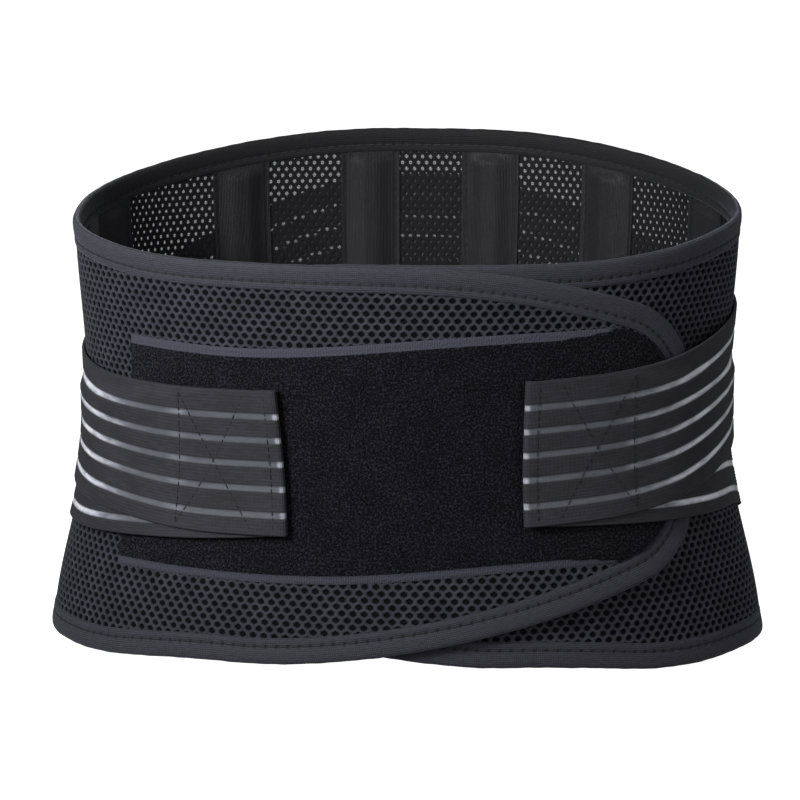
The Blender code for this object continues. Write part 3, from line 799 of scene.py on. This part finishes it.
# ---------------------------------------------------------------- patches

def patch_outline(along):
    clear_low, clear_high = panel_inside(along, PATCH_KEEP_OFF)
    low = np.maximum(through(PATCH_BOTTOM, along), clear_low)
    high = np.minimum(through(PATCH_TOP, along), clear_high)
    return low, np.maximum(high, low + 0.002)


def hidden_by_patch(along, z):
    low, high = patch_outline(along)
    margin = 0.0050
    return ((along > PATCH_START + margin) & (along < PATCH_END - margin)
            & (z > low + margin) & (z < high - margin))


def loop_patch(name, places, low, high, middle, hem, hem_end, seed):
    """Loop pile on its ground: uneven pile, and smooth hem strips of a width that fade at hem_end."""
    along, z = grid_of(places, low, high, 96)
    from_edge = np.minimum(z - low[:, None], high[:, None] - z)
    from_end = np.minimum(along - places[0], places[-1] - along)
    rng = np.random.default_rng(seed)
    coarse = rng.normal(size=along.shape)
    for _ in range(2):
        coarse = (coarse + np.roll(coarse, 1, 0) + np.roll(coarse, 1, 1) + np.roll(coarse, -1, 0)
                  + np.roll(coarse, -1, 1)) / 5.0
    left = smooth((hem_end - along) / HEM_FADE)
    on_hem = np.minimum(1.0, 2.0 * left) * (1.0 - smooth((from_edge - hem * left) / 0.0008))
    edge_fall = 1.0 - smooth(np.minimum(from_edge, from_end) / 0.0010)
    height = 0.00105 + (1.0 - on_hem) * (0.00085 + 0.00045 * coarse) - 0.0007 * edge_fall
    inner = surface(along, z, middle(along) + PATCH_BASE)
    outer = surface(along, z, middle(along) + PATCH_BASE + height)
    return slab(name, outer, inner, PILE, np.stack([along, z], -1), {"hem": on_hem})


def fuzz(name, places, low, high, middle, top, count, material, seed):
    """Fine fibres standing out of a pile, each a slim bent spike that leans its own way."""
    rng = np.random.default_rng(seed)
    at = rng.uniform(0.0, 1.0, (count, 2))
    along = places[0] + (places[-1] - places[0]) * at[:, 0]
    bottom, upper = np.interp(along, places, low), np.interp(along, places, high)
    z = bottom + (upper - bottom) * at[:, 1]
    long = rng.uniform(0.0006, 0.0013, count)
    lean = rng.uniform(0.0, 2.0 * math.pi, count)
    turns = lean[:, None] + np.radians([0.0, 120.0, 240.0])[None]

    def leaning(sideways, outward):
        return surface(along + long * sideways * np.cos(lean), z + long * sideways * np.sin(lean),
                       middle(along) + top + long * outward)[:, None]

    foot = surface(along[:, None] + FIBRE * np.cos(turns), z[:, None] + FIBRE * np.sin(turns),
                   middle(along)[:, None] + top - 0.0005)
    points = np.concatenate([foot, leaning(0.30, 0.40), leaning(0.75, 0.45)], axis=1)
    corners = ((2, 1, 0), (0, 1, 3), (1, 2, 3), (2, 0, 4), (0, 3, 4), (3, 2, 4))
    faces = np.concatenate([np.arange(count)[:, None] * 5 + np.array(face) for face in corners])
    cloth = np.broadcast_to(np.stack([along, z], -1)[:, None], (count, 5, 2))
    return make_piece(name, points, faces, material, cloth, None, 180.0)


def hook_patch(name, places, low, high, offset, shift=None):
    """Hook tape with rows of small studs on its inner face."""
    rows = max(8, round(float(np.max(high - low)) / 0.0008))
    along, z = grid_of(places, low, high, rows)
    if shift:
        along = along + shift(along, np.linspace(1.0, 0.0, rows + 1)[None, :])
    studs = (np.arange(len(places))[:, None] % 2) * (np.arange(rows + 1)[None, :] % 2)
    outer = surface(along, z, offset(along) + 0.0006)
    inner = surface(along, z, offset(along) - (0.00045 + 0.00035 * studs - 0.0003))
    return slab(name, outer, inner, HOOKS, np.stack([along, z], -1), None, 80.0)


def patches():
    def outer_middle(along):
        return LAP_OFFSET * lap(along)

    places = rounded(PATCH_START, PATCH_END - 0.022, 0.0014, 0.022, 22)
    low, high = patch_outline(places)
    front = loop_patch("front_loop_pile", places, low, high, outer_middle, 0.0034, HEM_END, 3)
    finish_piece(front, ("front_loop_patch",), "left_front")
    hairs = fuzz("front_loop_fibres", places, low + 0.0042, high - 0.0042, outer_middle, 0.0028, 30000,
                 fibre_material("pile_fibre"), 5)
    finish_piece(hairs, (), "left_front")

    start, end, bottom, top = INNER_LOOP
    places = stepped(start, end, 0.0016)
    inner = loop_patch("inner_loop_pile", places, np.full(len(places), bottom), np.full(len(places), top),
                       lambda along: -outer_middle(along), 0.002, end + HEM_FADE, 4)
    finish_piece(inner, ("inner_loop_patch",), "right_front")

    start, end, bottom, top = HOOK_PAD
    places = stepped(start, end, 0.0008)
    pad = hook_patch("closure_hook_tape", places, np.full(len(places), bottom), np.full(len(places), top),
                     lambda along: outer_middle(along) - 0.0017)
    finish_piece(pad, ("closure_hook_pad",), "left_front")


# ---------------------------------------------------------------- back

def back_pieces():
    """The see-through net in two halves, its bindings, and the stay pockets."""
    def inside(along, z):
        return (z > rim_bottom(along) + 0.006) & (z < rim_top(along) - 0.006)

    begin, finish = SIDE + SEAM_BEHIND, 2.0 * HALF_WAIST - SIDE - SEAM_BEHIND
    for side, half in (("right", -1.0), ("left", 1.0)):
        net = perforated("back_net_" + side, (begin, finish), (0.0, BACK_TOP), NET, surface,
                         NET_HALF_THICK, -NET_HALF_THICK,
                         lambda u, z: inside(u, z) & ((u - HALF_WAIST) * half >= 0.0), NET_YARN)
        finish_piece(net, ("back_mesh",), "back")

    places = stepped(begin, finish, 0.003)
    along, z = grid_of(places, rim_bottom(places) + 0.005, rim_top(places) - 0.005, 60)
    gauze = slab("back_net_gauze", surface(along, z, 0.00015), surface(along, z, -0.00015), GAUZE,
                 np.stack([along, z], -1))
    finish_piece(gauze, (), "back")
    for end, rim, order, seed in (("bottom", rim_bottom, 1, 41), ("top", rim_top, -1, 42)):
        path = np.stack([places, rim(places)], -1)[::order]
        tape, sewn = folded_binding(f"back_{end}_binding_tape", path, np.zeros_like, seed)
        finish_piece(tape, (f"back_{end}_binding",), "back")
        stitches = seam_stitches(f"back_{end}_binding_stitches", sewn, np.zeros_like)
        finish_piece(stitches, (), "back")

    for number, behind in enumerate(POCKET_PLACES, start=1):
        pocket(number, HALF_WAIST - behind)


def pocket(number, centre):
    """Tape sewn on the net's inner face along both edges, raised over its stay."""
    half = POCKET_WIDTH / 2.0
    across = np.linspace(-half, half, 61)
    low, high = rim_bottom(centre + across) + 0.004, rim_top(centre + across) - 0.004
    along, z = grid_of(centre + across, low, high, 150)
    v = np.broadcast_to(across[:, None], z.shape)
    raised = smooth((0.0128 - np.abs(v)) / 0.0108)
    ends = smooth((rim_top(along) - 0.0122 - z) / 0.0055) * smooth((z - rim_bottom(along) - 0.0122) / 0.0055)
    slack = 0.00022 * wander(z + number * 0.1, 0.052, number) * smooth((half - 0.003 - np.abs(v)) / 0.004)
    sewn = np.abs(np.abs(v) - (half - POCKET_SEAM))
    stitch = (sewn < 0.0003) * (np.arange(151)[None, :] % 3 == 0)
    groove = 0.00022 * np.exp(-(sewn / 0.0006) ** 2)
    proud = 0.00145 + 0.00265 * raised * ends + slack * ends - groove - 0.00018 * stitch
    item = slab(f"pocket_tape_{number}", surface(along, z, -proud + 0.0005), surface(along, z, -proud),
                POCKET_TAPE, np.stack([z, v], -1), {"needle": stitch})
    finish_piece(item, (f"stay_pocket_{number}",), "back")

    rows = []
    for place in (centre - half + POCKET_SEAM, centre + half - POCKET_SEAM):
        heights = np.arange(float(rim_bottom(place)) + 0.013, float(rim_top(place)) - 0.013, 0.0043)
        rows.append([surface(place, heights + rise, -out)
                     for rise, out in ((0.0, 0.0014), (0.001, 0.0014), (0.0, 0.0024))])
    stitches = thread(f"pocket_stitches_{number}", rows, 0.0031, 0.0002)
    finish_piece(stitches, (), "back")
    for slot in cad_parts[f"stay_{number}"].material_slots:
        slot.material = STEEL


# ---------------------------------------------------------------- straps

def strap_profile(level):
    """Places across a strap from its top edge, how far each stands proud, and how clear it is."""
    marks, proud, clear = [], [], []
    starts = [0.0] + [stripe + STRIPE_HALF for stripe in STRIPES[level]]
    ends = [stripe - STRIPE_HALF for stripe in STRIPES[level]] + [1.0]
    for low, high in zip(starts, ends):
        ribs = max(2, round((high - low) * STRAP_WIDTH / RIB_PITCH))
        for k in range(2 * ribs + 1):
            marks.append(low + (high - low) * k / (2 * ribs))
            proud.append(RIB_HEIGHT * (k % 2))
            clear.append(0.0)
        if high < 1.0:
            for share, see in ((0.12, 0.5), (0.32, 1.0), (0.68, 1.0), (0.88, 0.5)):
                marks.append(high + 2.0 * STRIPE_HALF * share)
                proud.append(-STRIPE_SINK)
                clear.append(see)
    return np.array(marks), np.array(proud), np.array(clear)


def strap_edges(side, level, reach):
    """Bottom and top of a strap at distances from the centre front."""
    points = UPPER_TOP[side] if level == "upper" else LOWER_BOTTOM[side]
    edge = through(points, reach)
    slope = (through(points, reach + 0.004) - through(points, reach - 0.004)) / 0.008
    necked = 1.0 - NECKING * smooth((reach - TIP[side] - 0.03) / 0.07)
    tall = STRAP_WIDTH * necked * np.hypot(1.0, slope)
    return (edge - tall, edge) if level == "upper" else (edge, edge + tall)


def strap_middle(side, level, reach):
    """Offset of a strap's middle: over the panels in front, crossing its partner at the spine."""
    front = STRAP_SIDE_OFFSET + STRAP_FRONT_RISE * smooth((SIDE - reach) / STRAP_RAMP)
    crossed = smooth((HALF_WAIST - reach - CROSSING_INNER) / CROSSING_FADE)
    if level == "upper":
        lifted = crossed if side == "left" else np.ones(np.shape(reach))
    else:
        lifted = np.zeros(np.shape(reach)) if side == "left" else 1.0 - crossed
    return front + STRAP_LAYER * np.where(reach < SIDE, 1.0 if level == "upper" else 0.0, lifted)


def strap_light_and_layers(reach, side):
    """How bright the clear stripes are: painted light from the sides round to the back, and brighter where
    the strap is sewn or folded.
    """
    from_tip = reach - TIP[side]
    # Painted light: the stripes are lightened from the sides round to the back.
    painted_side_light = smooth((reach - 0.110) / 0.050)
    sewn = np.exp(-((from_tip - BOX_END - 0.001) / 0.0035) ** 2)
    fold = 1.0 - smooth((from_tip - 0.0004) / 0.0014)
    return 0.14 + 0.76 * painted_side_light + 0.22 * sewn + 0.40 * fold


def slant(side, reach, across):
    """How far the cloth near a tip leans back at its top, as the tip is cut at a slant."""
    return TIP_SLANT[side] * (0.5 - across) * (1.0 - smooth((reach - TIP[side]) / 0.07))


def resting(side, level, reach, z):
    """How far an upper strap sinks where the lower one no longer lies beneath it."""
    if level == "lower":
        return np.zeros(np.broadcast(reach, z).shape)
    clear_of_lower = smooth((z - strap_edges(side, "lower", reach)[1] - 0.0005) / 0.007)
    return STRAP_LAYER * clear_of_lower * smooth((0.30 - reach) / 0.03)


def strap_piece(name, side, level, start, end, fold):
    """One length of a strap; with fold, its end wraps round the tip."""
    reach = stepped(start, end, 0.0045)
    middle = strap_middle(side, level, reach)
    if fold:
        under = middle[0] - STRAP_LAYER if level == "upper" else middle[0]
        wrap = np.array([(0.0012, -0.0009), (-0.0001, -0.0009), (-0.0008, -0.0003), (-0.0010, 0.0006),
                         (-0.0006, 0.0015), (0.0004, 0.0018), (0.0016, 0.0018), (0.0030, 0.0018)])
        reach = np.concatenate([start + wrap[:, 0], reach[1:]])
        middle = np.concatenate([under + wrap[:, 1], middle[1:]])
    run = np.stack([np.gradient(reach), np.gradient(middle)], -1)
    run /= np.hypot(run[:, 0], run[:, 1])[:, None]
    marks, proud, clear = strap_profile(level)
    low, high = strap_edges(side, level, np.maximum(reach, TIP[side]))
    z = high[:, None] + (low - high)[:, None] * marks[None, :]
    sunk = resting(side, level, np.maximum(reach, TIP[side])[:, None], z)
    lean = slant(side, reach[:, None], marks[None, :])
    settle = np.clip(1.0 - (reach - start) / 0.01, 0.0, 1.0) if fold else np.zeros(len(reach))
    half = (STRAP_THICK / 2.0) * (1.0 - 0.25 * settle)[:, None] + proud[None, :] * 0.9
    wavy = 0.00025 * wander(reach, 0.043, len(name))[:, None] * np.sin(marks * 9.0)[None, :]
    faces = []
    for way in (1.0, -1.0):
        out_reach = reach[:, None] + lean - run[:, None, 1] * half * way
        out_offset = middle[:, None] - sunk + run[:, None, 0] * half * way + wavy
        faces.append(surface(SIDE_SIGN[side] * out_reach, z, out_offset))
    outer, inner = faces
    across = np.broadcast_to(marks[None, :] * STRAP_WIDTH, z.shape)
    cloth = np.stack([np.broadcast_to(reach[:, None], z.shape), across], -1)
    # The ribs' grooves are darkened as painted shade, and the stripes are lightened with painted light from
    # the sides round to the back.
    extras = {"clear": np.broadcast_to(clear[None, :], z.shape),
              "rib": np.broadcast_to((proud > 0.0)[None, :], z.shape),
              "tone": np.broadcast_to(strap_light_and_layers(reach, side)[:, None], z.shape),
              "sheer": clear[None, :] * (0.12 + 0.74 * smooth((reach[:, None] - SIDE - 0.02) / 0.05))}
    item = slab(name, outer, inner, ELASTIC, cloth, extras, 85.0)
    return item


def on_strap(side, reach, across, lift=0.0):
    """World points on the outer face of a side's upper strap, at shares across it from the top."""
    low, high = strap_edges(side, "upper", reach)
    z = high + (low - high) * across
    out = strap_middle(side, "upper", reach) - resting(side, "upper", reach, z)
    out = out + STRAP_THICK / 2.0 + RIB_HEIGHT + lift
    return surface(SIDE_SIGN[side] * (reach + slant(side, reach, across)), z, out)


def stitched_line(side, first, second):
    """A row of stitches, for thread, on a strap from first to second, each (reach, across)."""
    first, second = np.array(first), np.array(second)
    length = math.hypot((second - first)[0], (second - first)[1] * STRAP_WIDTH)
    count = max(1, round(length / STRAP_STITCH))
    share = (np.arange(count) + 0.5) / count
    reach = first[0] + (second - first)[0] * share
    across = first[1] + (second - first)[1] * share
    nudge = (second - first) * 0.02
    return (on_strap(side, reach, across), on_strap(side, reach + nudge[0], across + nudge[1]),
            on_strap(side, reach, across, 0.001))


def box_stitching(side):
    """The fold's line, the seam across, and the cross sewn through a strap's tip."""
    tip = TIP[side]
    top, bottom = 0.035, 0.965
    near, far = tip + BOX_START, tip + BOX_END
    fold = tip + FOLD_LINE
    lines = [((fold, top), (fold, bottom)), ((far, top), (far, bottom)),
             ((near, top), (far, bottom)), ((near, bottom), (far, top))]
    rows = [stitched_line(side, *line) for line in lines]
    return thread(side + "_strap_box_stitches", rows, 0.0026, 0.00022)


def straps():
    past_spine = HALF_WAIST + STRAP_CROSSING
    for level in ("upper", "lower"):
        fold = level == "upper"
        for side, part, start, end, folded, lengths in (
                ("right", "", TIP["right"], past_spine, fold, ("front", "back")),
                ("left", "_rear", PEEL_JOIN, past_spine, False, ("back", "side")),
                ("left", "_free", TIP["left"], PEEL_JOIN, fold, ("front",))):
            strap = strap_piece(f"{side}_{level}_strap_elastic{part}", side, level, start, end, folded)
            finish_piece(strap, [f"{side}_{level}_strap_{length}" for length in lengths])
            if part == "_free":
                peel(strap)
            else:
                bend_at_side(strap)

    for side in ("left", "right"):
        tip = TIP[side]
        places = stepped(tip + TAB_MARGIN, tip + TAB_LENGTH, 0.0008)
        low, high = strap_edges(side, "upper", places)
        tab = hook_patch(side + "_hook_tape", SIDE_SIGN[side] * places, low + TAB_MARGIN, high - TAB_MARGIN,
                         lambda along: np.full(np.shape(along), TAB_OFFSET),
                         lambda along, across: SIDE_SIGN[side] * slant(side, np.abs(along), across))
        finish_piece(tab, (side + "_hook_tab",), side + "_strap")
        finish_piece(box_stitching(side), (), side + "_strap")


def peel(item):
    start, end = (surface(-place, BEND_Z, 0.0).tolist() for place in (PEEL_FROM, PEEL_TO))
    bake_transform(item)


# ---------------------------------------------------------------- camera, floor and light

def stage_material():
    floor = Recipe("pale_floor", on_cloth=False)
    floor.set("Emission Color", (1.0, 1.0, 1.0))
    floor.set("Emission Strength", 1.0)
    return floor.finish((0.93, 0.93, 0.93), 0.9, gloss=0.1)


def area_light(name, place, target, size, power):
    light = bpy.data.lights.new(name, "AREA")
    light.shape = "RECTANGLE"
    light.size, light.size_y = size
    light.energy = power
    item = placed(name, light)
    item.location = place
    item.rotation_euler = (Vector(target) - Vector(place)).to_track_quat("-Z", "Y").to_euler()
    return item


def studio():
    bpy.ops.mesh.primitive_plane_add(size=60.0, location=(0.0, 0.0, -0.0005))
    floor = bpy.context.object
    floor.name = "floor"
    floor.data.materials.append(stage_material())
    floor.visible_diffuse = floor.visible_glossy = False

    world = bpy.data.worlds.new("studio")
    bpy.context.scene.world = world
    world.use_nodes = True
    tree = world.node_tree
    seen = tree.nodes.new("ShaderNodeMath")
    seen.operation = "MULTIPLY_ADD"
    tree.links.new(tree.nodes.new("ShaderNodeLightPath").outputs["Is Camera Ray"], seen.inputs[0])
    seen.inputs[1].default_value, seen.inputs[2].default_value = 1.0 - AMBIENT, AMBIENT
    tree.links.new(seen.outputs[0], tree.nodes["Background"].inputs["Color"])
    tree.nodes["Background"].inputs["Strength"].default_value = 1.0
    bpy.context.scene.view_settings.view_transform = "Standard"

    middle = (0.0, 0.0, 0.11)
    key = area_light("key", (-0.66, -0.88, 0.60), (-0.05, 0.0, 0.30), (0.45, 0.35), 2.75)
    key.data.spread = math.radians(65.0)
    area_light("top", (0.0, 0.15, 1.3), middle, (0.9, 0.6), 2.0)
    area_light("fill", (1.1, -1.2, 0.6), middle, (0.8, 0.8), 6.6)

    azimuth, elevation, distance = math.radians(8.0), math.radians(10.0), 1.60
    aim = Vector((0.0, 0.0, 0.1195))
    toward = Vector((math.sin(azimuth) * math.cos(elevation), -math.cos(azimuth) * math.cos(elevation),
                     math.sin(elevation)))
    data = bpy.data.cameras.new("camera")
    data.lens = 144.4
    data.sensor_width = 36.0
    data.shift_x = -0.0075
    data.clip_start, data.clip_end = 0.05, 100.0
    camera = placed("camera", data)
    camera.location = aim + toward * distance
    camera.rotation_mode = "QUATERNION"
    camera.rotation_quaternion = (-toward).to_track_quat("-Z", "Y")
    bpy.context.scene.camera = camera


def build():
    front_panel("left", 1.0, hidden_by_patch)
    front_panel("right", -1.0, lambda along, z: np.zeros(np.shape(along), bool))
    patches()
    back_pieces()
    straps()
    studio()


build()
